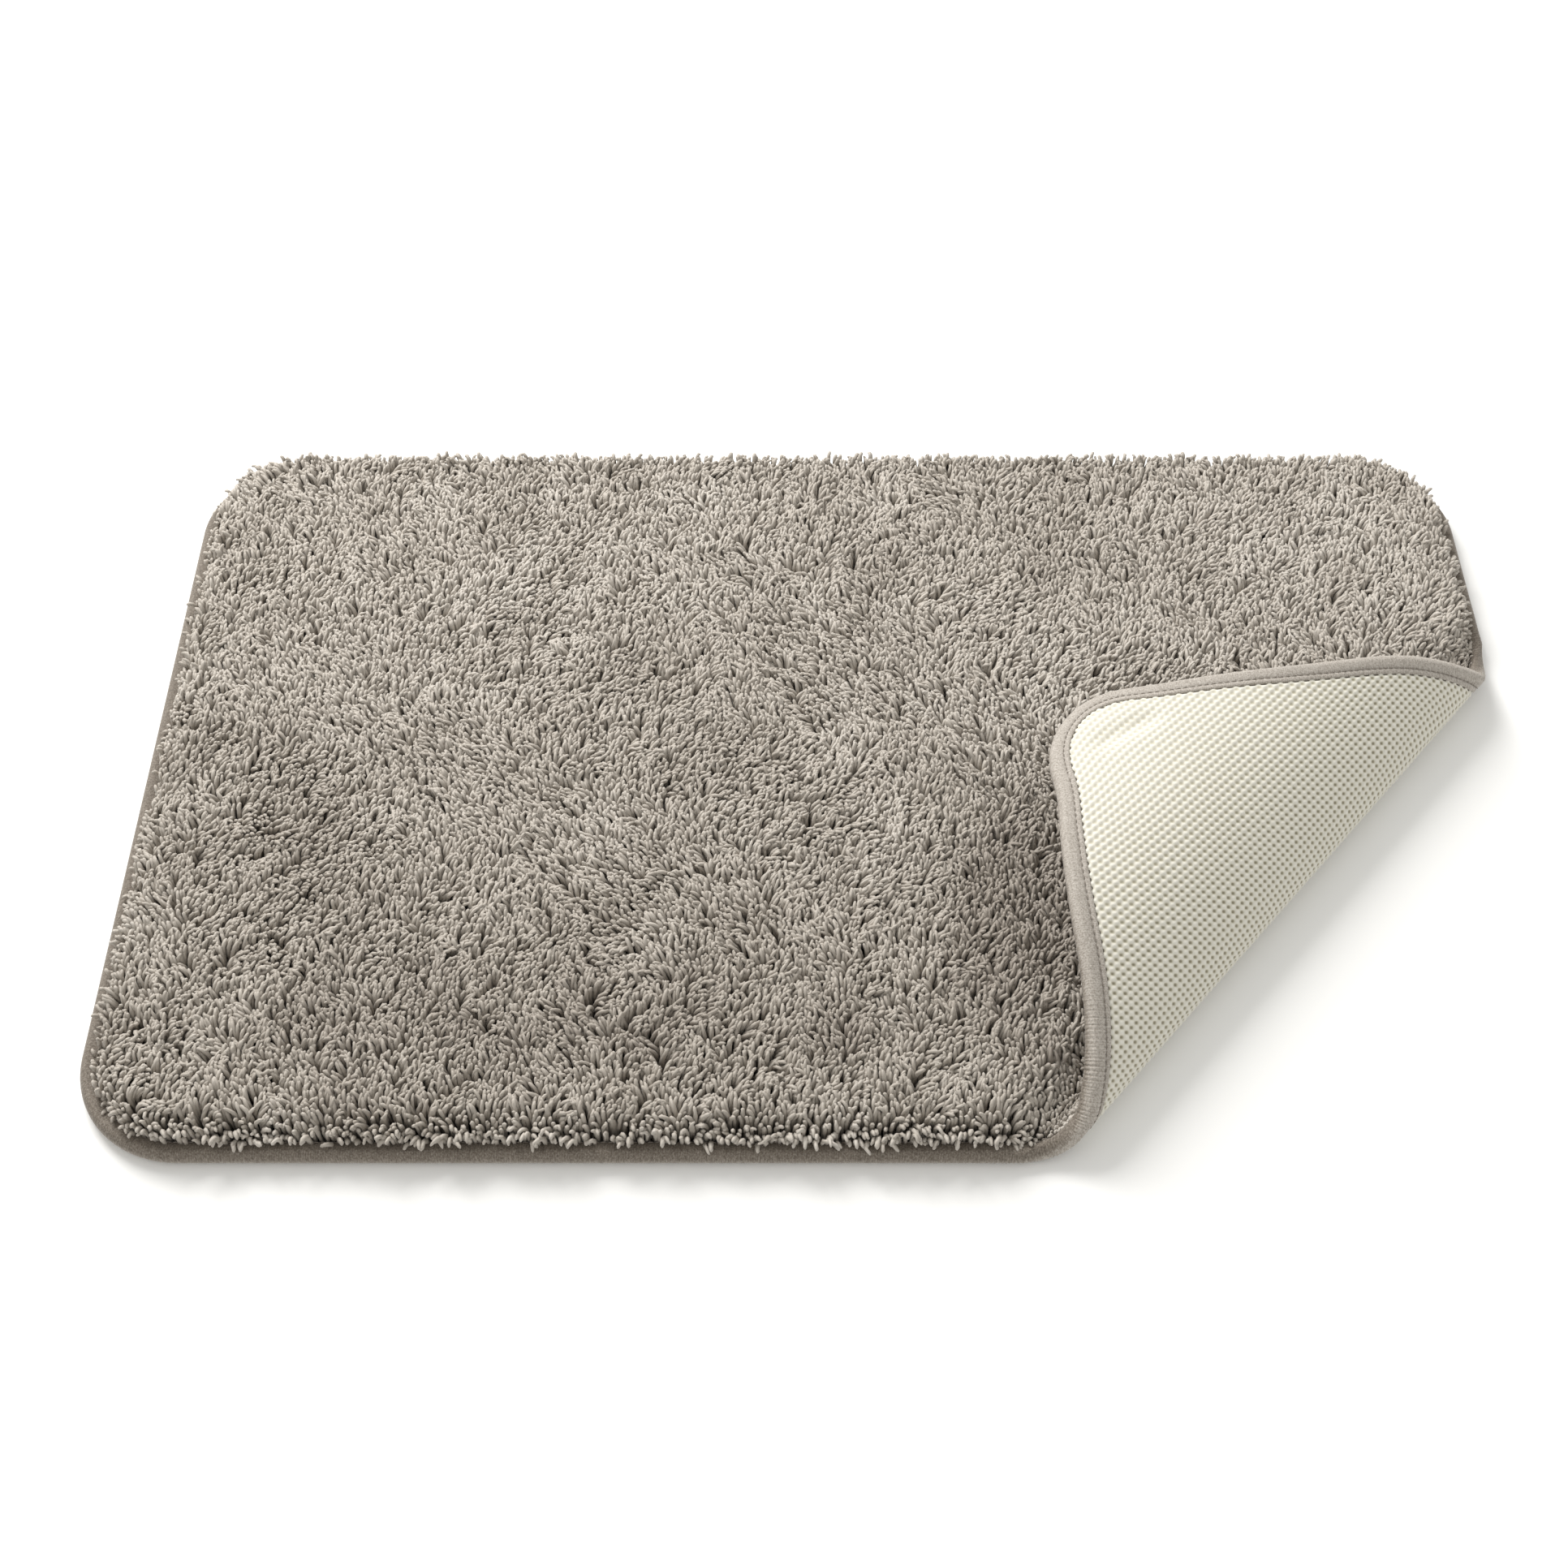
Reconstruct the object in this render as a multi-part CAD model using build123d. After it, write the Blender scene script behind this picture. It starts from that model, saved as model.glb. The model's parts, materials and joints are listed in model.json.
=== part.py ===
from build123d import *
from math import degrees, radians, tan
import os

# A rectangular shag bath mat with one corner turned back over its own pile.
# Units are millimetres. The mat lies on Z = 0, pile up, with its length along X
# and the turned-back corner at +X, -Y. The origin is under the middle of the mat.

# ---- driving dimensions -------------------------------------------------
mat_length = 800.0
mat_width = 500.0
corner_radius = 60.0

backing_thickness = 1.2        # open anti-slip mesh
cloth_thickness = 1.8          # woven cloth that holds the yarn
pile_height = 21.0             # yarn above the cloth
pile_crown = 9.0               # rounding of the pile's top edge
pile_overhang_inset = 3.0      # how far inside the mat's edge the pile's side stands

binding_height = 10.0          # the soft roll round the mat's edge
binding_reach = 9.0            # how far the tape comes in over each face
binding_rounding = 4.4
tape_thickness = 1.2
core_rounding = 3.0
stitch_inset = 6.9             # from the mat's edge to the row of stitches
stitch_width = 0.8
stitch_depth = 0.5

# The corner turns back along a line from the front edge to the right-hand edge.
fold_front_x = 93.0
fold_side_y = 97.0

# The turned corner is a tight curl that opens into a shallow arch.
curl_radius = 18.0
curl_angle = 125.0             # degrees turned by the tight curl
curl_folds = 5
arch_pitch = 34.0              # distance between the arch's folds
arch_folds = 5
arch_curvature_first = 0.0105  # per mm, where the curl ends
arch_curvature_last = 0.0055   # per mm, at the end of arch_run
arch_run = 190.0
fold_gap = 0.15                # each side of a fold line

curl_pile_top = 13.0           # yarn is squeezed inside the curl
first_arch_pile_top = 15.0

# ---- worked out from the driving dimensions -----------------------------
base_top = backing_thickness + cloth_thickness
mat_height = base_top + pile_height

fold_start = Vector(fold_front_x, -mat_width / 2, 0)
fold_end = Vector(mat_length / 2, fold_side_y, 0)
along_fold = (fold_end - fold_start).normalized()
outward = Vector(along_fold.Y, -along_fold.X, 0)      # from the fold line to the corner
fold_middle = (fold_start + fold_end) * 0.5

curl_length = curl_radius * radians(curl_angle)
curl_pitch = curl_length / curl_folds


def fold_table():
    """Each fold's distance from the start of the curl and the angle it turns, in degrees."""
    folds = [(curl_pitch * (i + 0.5), curl_angle / curl_folds) for i in range(curl_folds)]
    for i in range(arch_folds):
        run = arch_pitch * (i + 0.5)
        slope = (arch_curvature_last - arch_curvature_first) / arch_run
        curvature = arch_curvature_first + slope * run
        folds.append((curl_length + run, degrees(curvature * arch_pitch)))
    return folds


folds = fold_table()
strip_names = [f"curl_{i}" for i in range(1, curl_folds)]
strip_names += [f"arch_{i}" for i in range(1, arch_folds + 1)]
body_names = ["mat"] + strip_names + ["corner"]
strip_tops = [curl_pile_top] * (curl_folds - 1) + [first_arch_pile_top]
strip_tops += [mat_height] * (arch_folds - 1)
body_tops = [mat_height] + strip_tops + [mat_height]


# ---- the flat mat's layers ----------------------------------------------
def slab(inset, low, high):
    """A plate of the mat's outline, inset all round, from height low to height high."""
    outline = RectangleRounded(
        mat_length - 2 * inset, mat_width - 2 * inset, corner_radius - inset
    )
    return Pos(0, 0, low) * extrude(outline, amount=high - low)


def rounded_slab(inset, low, high, rounding, both=True):
    """The same plate with its top edge rounded, and its bottom edge too."""
    plate = slab(inset, low, high)
    edges = plate.faces().sort_by(Axis.Z)[-1].edges()
    if both:
        edges += plate.faces().sort_by(Axis.Z)[0].edges()
    return fillet(edges, rounding)


def band(inner_inset, low, high):
    """The part of a level that lies inside the binding, from the tape to inner_inset."""
    level = slab(0, low, high) - slab(inner_inset, low, high)
    return core & level


def stitch_row(low):
    """One row of stitches as a flush ribbon of thread."""
    return slab(stitch_inset, low, low + stitch_depth) - slab(
        stitch_inset + stitch_width, low, low + stitch_depth
    )


core = rounded_slab(
    tape_thickness, tape_thickness, binding_height - tape_thickness, core_rounding
)


def make_backing():
    """The mesh lies on the floor and steps up where the tape passes under it."""
    rim_top = tape_thickness + backing_thickness
    rim = band(binding_reach + backing_thickness, tape_thickness, rim_top)
    return slab(binding_reach, 0, backing_thickness) + rim


def make_cloth():
    """The cloth lies on the mesh and follows its step."""
    inner = binding_reach + backing_thickness
    rim_low = tape_thickness + backing_thickness
    rim = band(inner + cloth_thickness, rim_low, rim_low + cloth_thickness)
    return slab(inner, backing_thickness, base_top) + rim


def make_pile(backing, cloth):
    """The yarn: a crowned block that leans out over the binding, with a squeezed rim inside it."""
    crown = rounded_slab(
        pile_overhang_inset, binding_height, mat_height, pile_crown, both=False
    )
    root = slab(binding_reach, base_top, binding_height)
    return crown + root + core - cloth - backing


def make_stitches():
    return stitch_row(0) + stitch_row(binding_height - stitch_depth)


def make_binding(stitches):
    """The tape: a soft roll round the edge, hollow for the layers that it holds."""
    roll = rounded_slab(0, 0, binding_height, binding_rounding)
    return roll - core - slab(binding_reach, 0, binding_height) - stitches


# ---- cutting the mat at its folds and turning the pieces back ------------
section_plane = Plane(origin=fold_middle, x_dir=outward, z_dir=along_fold * -1)
section_reach = mat_length
below = -1.0


def wedge(index):
    """The space of one body in the flat mat. Its sides lean in by half of each fold's angle,
    so that neighbours close up on each other when the corner is turned back."""
    top = body_tops[index]

    def side(fold, direction):
        place, angle = folds[fold]
        lean = tan(radians(angle / 2))
        return [
            (place + direction * (fold_gap + lean * height), height)
            for height in (below, top)
        ]

    if index == 0:
        near = [(-section_reach, below), (-section_reach, top)]
    else:
        near = side(index - 1, 1)
    if index == len(folds):
        far = [(section_reach, below), (section_reach, top)]
    else:
        far = side(index, -1)
    outline = Polyline(near[0], far[0], far[1], near[1], close=True)
    return extrude(section_plane * make_face(outline), section_reach, both=True)


def turn_back(shape, index):
    """Moves a body's piece from the flat mat to its place in the turned-back corner."""
    for place, angle in reversed(folds[:index]):
        hinge = Axis(fold_middle + outward * place, along_fold * -1)
        shape = shape.rotate(hinge, angle)
    return shape


def main():
    backing = make_backing()
    cloth = make_cloth()
    pile = make_pile(backing, cloth)
    stitches = make_stitches()
    layers = {
        "backing_mesh": backing,
        "base_cloth": cloth,
        "pile": pile,
        "edge_binding": make_binding(stitches),
        "binding_stitch": stitches,
    }
    os.makedirs("parts", exist_ok=True)
    for index, body in enumerate(body_names):
        space = wedge(index)
        for layer, solid in layers.items():
            piece = turn_back(solid & space, index)
            export_step(Compound(children=piece.solids()), f"parts/{body}_{layer}.step")


main()
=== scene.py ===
import json
from math import cos, pi, radians, sin

import bpy
import numpy as np
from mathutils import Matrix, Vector

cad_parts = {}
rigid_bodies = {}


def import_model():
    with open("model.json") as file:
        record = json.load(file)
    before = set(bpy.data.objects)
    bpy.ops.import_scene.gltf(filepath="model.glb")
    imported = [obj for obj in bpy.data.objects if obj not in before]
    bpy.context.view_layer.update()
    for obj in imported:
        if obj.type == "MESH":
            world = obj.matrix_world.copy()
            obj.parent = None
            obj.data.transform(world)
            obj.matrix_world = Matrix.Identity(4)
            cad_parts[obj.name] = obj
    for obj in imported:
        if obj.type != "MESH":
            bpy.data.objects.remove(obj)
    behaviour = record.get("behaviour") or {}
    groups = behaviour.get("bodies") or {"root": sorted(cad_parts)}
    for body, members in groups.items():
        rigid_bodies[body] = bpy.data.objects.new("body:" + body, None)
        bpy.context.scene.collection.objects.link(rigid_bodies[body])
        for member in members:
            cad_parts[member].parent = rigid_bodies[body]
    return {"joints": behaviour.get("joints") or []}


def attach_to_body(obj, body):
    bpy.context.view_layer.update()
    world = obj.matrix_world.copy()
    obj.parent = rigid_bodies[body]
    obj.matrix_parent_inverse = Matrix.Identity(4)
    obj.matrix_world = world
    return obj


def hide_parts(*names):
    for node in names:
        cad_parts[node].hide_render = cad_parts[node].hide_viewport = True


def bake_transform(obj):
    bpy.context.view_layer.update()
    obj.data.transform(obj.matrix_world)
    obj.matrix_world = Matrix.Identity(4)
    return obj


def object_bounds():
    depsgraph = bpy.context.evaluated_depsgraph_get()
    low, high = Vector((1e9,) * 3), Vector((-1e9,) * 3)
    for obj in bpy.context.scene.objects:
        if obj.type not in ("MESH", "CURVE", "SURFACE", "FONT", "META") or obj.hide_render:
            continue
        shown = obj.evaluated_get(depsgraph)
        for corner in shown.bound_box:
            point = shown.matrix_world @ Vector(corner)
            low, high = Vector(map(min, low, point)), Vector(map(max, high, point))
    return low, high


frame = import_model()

# The looks of a shag bath mat with one corner turned back. Lengths are millimetres until a
# mesh is made. Each layer is laid out on the flat mat, then bent along the turned corner.
MM = 0.001
cad_low, cad_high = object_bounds()

# ---- sizes ----------------------------------------------------------------
mat_length = (cad_high.x - cad_low.x) / MM
mat_width = (cad_high.y - cad_low.y) / MM
half_length = mat_length / 2
half_width = mat_width / 2
corner_radius = 60.0

backing_thickness = 1.2
base_top = 3.0                 # the cloth's upper face, where the yarn is rooted
pile_top = 24.0

# How a lifted corner's soft edge strays from the flat outline. A zone is where a change
# starts and where it is complete.
stray_zone = (5.0, 35.0)       # beyond the first fold
side_zone = (200.0, half_length)
bulge = 9.0                    # the side edge swells between the tip and the curl
bulge_y = -12.0
bulge_reach = 62.0
side_draw = 0.8                # and is drawn in a little elsewhere
tip_zone = (300.0, 385.0)
tip_pull = 8.0                 # the tip is drawn out along X
tip_y = -222.0
tip_reach = 32.0
front_zone = (170.0, 245.0)
front_tuck = 3.5               # the front edge goes inward near the tip
front_tuck_x = 335.0
front_tuck_reach = 28.0
front_bow = 3.0                # and outward nearer the curl
front_bow_x = 255.0
front_bow_reach = 45.0
crease_start = (350.0, -228.0)
crease_end = (378.0, -172.0)
crease_depth = 2.6
crease_reach = 6.0             # to each side
crease_fade = 20.0             # at each end

# The anti-slip mesh.
knot_half_pitch = (2.52, 3.3)  # along X and Y
hole_depth = 1.1
strand_share = 0.62            # how deep the strands between knots lie, of a hole's depth
knot_fullness = 0.8            # powers that shape the knots and the holes
hole_sharpness = 1.5
lit_hole_tone = 0.3          # painted light: how much lighter than the pattern the holes are, away from the curl
shaded_hole_tone = -0.18    # painted shade: and how much darker, nearer the curl
mesh_inset = 11.7              # the mesh ends over the binding's lip
mesh_step = 0.9                # and steps up there
mesh_step_zone = (mesh_inset + 0.3, mesh_inset + 2.2)
fine_mesh_from = -8.0          # the mesh shows beyond this distance from the first fold
fine_divisions = 5             # of a cell between knots, where the mesh shows
coarse_divisions = 2
hole_shade_zone = (45.0, 150.0)  # the holes go from painted shade to painted light over this run beyond the first fold

# The cloth.
cloth_pitch = 3.0
cloth_inset = 4.0
cloth_step = 2.0               # over the binding's lip
cloth_step_zone = (cloth_inset, mesh_inset + 2.0)
cloth_reach = 720.0            # a grid this far along the fold covers the mat
cloth_beyond = 330.0           # and this far beyond it covers the corner

# The binding is a soft roll of velour tape.
roll_half_width = 4.6
roll_half_height = 5.2
roll_points = 13
tape_width = 30.0
tape_step = 0.5                # between stations along the edge
rib_pitch = 1.25
rib_depth = 0.07
rib_slant = 1.3
gather_pitch = 2.1
gather_depth = 0.25
gather_wander = 1.6            # radians that the gathers' phase wanders, over this many mm
gather_wander_run = 2.9
gather_swell = 0.25            # how unequal the gathers are, over this many mm
gather_swell_run = 4.3
gather_zone = (-40.0, 0.0)     # gathers start before the curl
ungather_zone = (55.0, 100.0)  # and end beyond it
underside_light_zone = (0.30, 0.50)  # where the tape turns under, as shares of its width: painted light, the tape is painted paler from there on and darker on its upper, outer side

stitch_pitch = 4.0
stitch_length = 3.0
stitch_radius = 0.28
stitch_inset = 8.9
stitch_rows = ((0.55, -0.35), (9.5, 0.35))  # each row's height, and how far a stitch bows out
stitch_sides = 6
stitch_rings = 5

# The yarn.
yarn_pitch = 2.6
yarn_radius = 1.04
yarn_sides = 5
yarn_length = pile_top - base_top - 1.0
yarn_root_inset = 8.6
root_disorder = 0.22           # of the pitch
clump_pitch = 9.0
clump_disorder = 0.42          # of the pitch
clump_pinch = 0.15             # how far yarns lean to their clump's middle
ring_rises = np.array([0.0, 0.50, 0.68, 0.82, 0.93, 0.98])
ring_sizes = np.array([1.0, 1.35, 1.25, 1.12, 0.98, 0.6])
bend_from = 0.45               # how far up a yarn starts to bend over
pile_patches = (6, 4)          # the flat mat's pile is cut into patches along X and Y

usual_brush = (0.2, 1.3)       # the pile is brushed away to the back
broad_swirl = (90, 320)        # wavelengths at which the brushing wanders
small_swirl = (30, 70)
swirl_waves = 9

rim_inset = 20.0               # the pile's rim reaches in to here
side_overhang = 2.4            # how far the rim hangs out
front_overhang = 7.6
back_overhang = 1.8
rim_frizz = (1.9, 1.3)
edge_margin = 1.0              # yarns stop this far inside the mat's edge
front_past = 2.5               # but this much further out at the front and the back
back_past = 1.2
side_drop = 3.5                # the rim's tips stand lower at the sides

squeeze_zone = (-28.0, -4.0)   # the pile is squeezed inside the curl
unsqueeze_zone = (46.0, 80.0)
squeezed_height = 0.52         # the share of the height that it loses there
squeezed_lean = 0.5

# The studio, in metres and degrees.
lens = 46.73
eye_place = (-0.0284, -0.7171, 0.9575)
eye_pitch = 53.35              # below the horizon
floor_reach = 6.0
floor_drop = 0.0002
key_place = (-0.98, 1.47, 1.52)
key_width = 1.3
key_power = 66.5
key_colour = (1.0, 0.987, 0.972)
sky_colour = (1.0, 0.992, 0.958, 1.0)
sky_strength = 0.74


# ---- the turned-back corner -------------------------------------------------
joints = sorted(frame["joints"], key=lambda joint: int(joint["name"].split("_")[1]))
hinges = np.array([joint["pos_m"] for joint in joints]) / MM
turns = np.radians([joint["range_deg"][1] for joint in joints])
along = np.array(joints[0]["axis"][:2])
along = along / np.linalg.norm(along)
outward = np.array([along[1], -along[0]])
fold_origin = hinges[0, :2]

# Places run along the unrolled mat from the first fold. Points are the same places in the
# turned-back corner's section, as distance and height. Cuts lie midway between the folds.
hinge_points = np.column_stack([(hinges[:, :2] - fold_origin) @ outward, hinges[:, 2]])
hinge_steps = np.linalg.norm(np.diff(hinge_points, axis=0), axis=1)
hinge_places = np.concatenate([[0.0], np.cumsum(hinge_steps)])
end_direction = np.array([cos(turns.sum()), sin(turns.sum())])
end_run = hinge_steps[-1] / 2

start_place = -hinge_steps[0] / 2
middle_places = (hinge_places[:-1] + hinge_places[1:]) / 2
end_place = hinge_places[-1] + end_run
cut_places = np.concatenate([[start_place], middle_places, [end_place]])

start_point = [start_place, 0.0]
middle_points = (hinge_points[:-1] + hinge_points[1:]) / 2
end_point = hinge_points[-1] + end_run * end_direction
cut_points = np.vstack([start_point, middle_points, end_point])

fold_count = len(joints)
body_names = [joints[0]["parent"]] + [joint["child"] for joint in joints]


def smoothstep(low, high, value):
    """0 up to low, 1 from high on, and smooth between."""
    t = np.clip((value - low) / (high - low), 0, 1)
    return t * t * (3 - 2 * t)


def bell(value, middle, reach):
    """1 at the middle, fading out over the reach on both sides."""
    return np.exp(-(((value - middle) / reach) ** 2))


def fold_distance(x, y):
    """How far a point of the flat mat lies beyond the first fold, and how far along it."""
    dx = x - fold_origin[0]
    dy = y - fold_origin[1]
    return dx * outward[0] + dy * outward[1], dx * along[0] + dy * along[1]


def soft_crease(x, y):
    """1 along the faint crease near the turned-back corner's tip, 0 away from it."""
    start, end = np.array(crease_start), np.array(crease_end)
    length = np.linalg.norm(end - start)
    way = (end - start) / length
    run = (x - start[0]) * way[0] + (y - start[1]) * way[1]
    off = (x - start[0]) * way[1] - (y - start[1]) * way[0]
    ends = smoothstep(0.0, crease_fade, run) * smoothstep(0.0, crease_fade, length - run)
    return bell(off, 0.0, crease_reach) * ends


def eased_edge(points):
    """Lets the turned-back corner's edge wander, as a soft mat's does once it is lifted, and
    presses a faint crease near its tip."""
    x, y = points[:, 0], points[:, 1]
    s, _ = fold_distance(x, y)
    swell = bulge * bell(y, bulge_y, bulge_reach) - side_draw
    pull = tip_pull * bell(y, tip_y, tip_reach) * smoothstep(*tip_zone, x)
    tuck = front_tuck * bell(x, front_tuck_x, front_tuck_reach)
    bow = front_bow * bell(x, front_bow_x, front_bow_reach)
    shift = (tuck - bow) * smoothstep(*front_zone, -y)
    lifted = smoothstep(*stray_zone, s)
    eased = points.copy()
    eased[:, 0] += lifted * (smoothstep(*side_zone, x) * swell + pull)
    eased[:, 1] += lifted * shift
    eased[:, 2] += crease_depth * soft_crease(x, y)
    return eased


def turned_back(points):
    """Moves points of the flat mat to where the turned-back corner holds them.

    Between two cuts the mat follows a quadratic curve that is tangent to the flats on both
    sides of the fold, and each point keeps its height above the curve."""
    points = eased_edge(points)
    s, t = fold_distance(points[:, 0], points[:, 1])
    height = points[:, 2]
    k = np.clip(np.searchsorted(cut_places, s), 1, fold_count)
    first, middle, last = cut_places[k - 1], hinge_places[k - 1], cut_places[k]
    # u is where on its curve a point lies: the curve has run "gone" from its first cut there.
    a = first - 2 * middle + last
    b = 2 * (middle - first)
    gone = np.clip(s, first, last) - first
    u = 2 * gone / (b + np.sqrt(b * b + 4 * a * gone))
    u = u[:, None]
    start, bend, end = cut_points[k - 1], hinge_points[k - 1], cut_points[k]
    place = (1 - u) ** 2 * start + 2 * u * (1 - u) * bend + u**2 * end
    heading = (1 - u) * (bend - start) + u * (end - bend)
    heading /= np.linalg.norm(heading, axis=1)[:, None]
    place = place + heading * (s - np.clip(s, first, last))[:, None]
    across = place[:, 0] - heading[:, 1] * height
    up = place[:, 1] + heading[:, 0] * height
    out = np.empty_like(points)
    out[:, 0] = fold_origin[0] + across * outward[0] + t * along[0]
    out[:, 1] = fold_origin[1] + across * outward[1] + t * along[1]
    out[:, 2] = up
    return out


# ---- the mat's outline ------------------------------------------------------
def inset_of(x, y):
    """How far inside the mat's edge a point of the flat mat lies, and the way out of the mat."""
    qx = np.abs(x) - (half_length - corner_radius)
    qy = np.abs(y) - (half_width - corner_radius)
    ax, ay = np.maximum(qx, 0), np.maximum(qy, 0)
    round_part = np.hypot(ax, ay)
    inset = corner_radius - round_part - np.minimum(np.maximum(qx, qy), 0)
    in_corner = round_part > 1e-9
    nx = np.where(in_corner, ax / np.maximum(round_part, 1e-9), (qx > qy) * 1.0)
    ny = np.where(in_corner, ay / np.maximum(round_part, 1e-9), (qx <= qy) * 1.0)
    return inset, nx * np.sign(x), ny * np.sign(y)


def outline(pitch):
    """Points round the mat's edge, the outward direction at each and the distance along."""
    corners = [(1, -1, -90), (1, 1, 0), (-1, 1, 90), (-1, -1, 180)]
    places, outs = [], []
    for number, (sx, sy, start) in enumerate(corners):
        centre = np.array([sx * (half_length - corner_radius), sy * (half_width - corner_radius)])
        steps = int(round(corner_radius * pi / 2 / pitch))
        angles = np.radians(start + 90 * np.arange(steps + 1) / steps)
        out = np.column_stack([np.cos(angles), np.sin(angles)])
        places.append(centre + corner_radius * out)
        outs.append(out)
        run = mat_width if number % 2 == 0 else mat_length
        run -= 2 * corner_radius
        steps = int(round(run / pitch))
        shares = np.arange(1, steps)[:, None] / steps
        direction = np.array([-out[-1, 1], out[-1, 0]])
        places.append(places[-1][-1] + shares * run * direction)
        outs.append(np.repeat(out[-1:], steps - 1, axis=0))
    place = np.vstack(places)
    out = np.vstack(outs)
    steps = np.linalg.norm(np.roll(place, -1, axis=0) - place, axis=1)
    return place, out, np.concatenate([[0.0], np.cumsum(steps)[:-1]])


# ---- making meshes ----------------------------------------------------------
def vertex_normals(points, quads):
    """Smooth normals of a whole layer, so that its pieces meet with no seam in the shading."""
    a, b, c, d = (points[quads[:, i]] for i in range(4))
    face = np.cross(c - a, d - b)
    normals = np.zeros_like(points)
    for axis in range(3):
        for corner in range(4):
            normals[:, axis] += np.bincount(quads[:, corner], face[:, axis], len(points))
    return normals / np.maximum(np.linalg.norm(normals, axis=1), 1e-12)[:, None]


def new_piece(name, points, quads, triangles, material, values, uvs, normals=None):
    """A mesh object from arrays: points in millimetres, faces, and values at the points."""
    mesh = bpy.data.meshes.new(name)
    mesh.vertices.add(len(points))
    mesh.vertices.foreach_set("co", (points * MM).astype(np.float32).ravel())
    loops = np.concatenate([quads.ravel(), triangles.ravel()])
    mesh.loops.add(len(loops))
    mesh.loops.foreach_set("vertex_index", loops.astype(np.int32))
    sizes = np.concatenate([np.full(len(quads), 4), np.full(len(triangles), 3)])
    mesh.polygons.add(len(sizes))
    starts = np.concatenate([[0], np.cumsum(sizes)[:-1]])
    mesh.polygons.foreach_set("loop_start", starts.astype(np.int32))
    mesh.update(calc_edges=True)
    mesh.shade_smooth()
    for key, numbers in values.items():
        attribute = mesh.attributes.new(key, "FLOAT", "POINT")
        attribute.data.foreach_set("value", numbers.astype(np.float32))
    layer = mesh.uv_layers.new(name="OFBake")
    layer.uv.foreach_set("vector", uvs[loops].astype(np.float32).ravel())
    if normals is not None:
        mesh.normals_split_custom_set_from_vertices(normals)
    mesh.materials.append(material)
    piece = bpy.data.objects.new(name, mesh)
    bpy.context.scene.collection.objects.link(piece)
    return piece


def attach(piece, index, node):
    """Piece 0 rides on the flat mat. Piece k lies across fold k and stays where it was made."""
    if index == 0:
        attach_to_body(piece, body_names[0])
    else:
        direction = cut_points[index] - cut_points[index - 1]
        direction = direction / np.linalg.norm(direction)
        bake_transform(piece)
    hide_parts(f"{body_names[index]}_{node}")


def part_of(points):
    """Which fold's piece each point of the flat mat belongs to; the last holds the tip too."""
    s, _ = fold_distance(points[:, 0], points[:, 1])
    return np.minimum(np.searchsorted(cut_places, s), fold_count)


def taken(quads, mask, values):
    """The faces in mask with only the points that they use."""
    kept = quads[mask]
    used, index = np.unique(kept, return_inverse=True)
    index = index.reshape(kept.shape)
    return used, index, {key: numbers[used] for key, numbers in values.items()}


no_triangles = np.zeros((0, 3), int)
uv_margin = 0.01


def flat_uvs(points):
    """A UV map that lays the flat mat's outline in the unit square, with a small margin."""
    low, high = points.min(axis=0), points.max(axis=0)
    span = max(high[0] - low[0], high[1] - low[1])
    return uv_margin + (1 - 2 * uv_margin) * (points[:, :2] - low[:2]) / span


def patch_number(place, length, count):
    """Which of count equal patches along the mat's length or width a place is in."""
    return np.clip(((place + length / 2) / length * count).astype(int), 0, count - 1)


def make_layer(
    layer, flat, quads, values, material, uv_points=None, part=None, patches=1
):
    """Splits a layer at the folds and makes the pieces of each part, in their turned-back place.

    uv_points and part are worked out from the flat points unless they are given: part says which
    body each face belongs to. The pieces on the flat mat are cut along its length into so many
    patches."""
    rest = turned_back(flat)
    normals = vertex_normals(rest, quads)
    middle = flat[quads].mean(axis=1)
    if part is None:
        part = part_of(middle)
    if uv_points is None:
        uv_points = flat
    patch = np.where(part == 0, patch_number(middle[:, 0], mat_length, patches), 0)
    pieces = []
    for index, body in enumerate(body_names):
        group = []
        for number in range(patches if index == 0 else 1):
            mask = (part == index) & (patch == number)
            name = f"{layer}_{body}"
            if patches > 1 and index == 0:
                name += f"_{number + 1}"
            used, faces, own = taken(quads, mask, values)
            uvs = flat_uvs(uv_points[used])
            piece = new_piece(
                name, rest[used], faces, no_triangles, material, own, uvs, normals[used]
            )
            group.append(piece)
        pieces.append(group)
    return pieces


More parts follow.
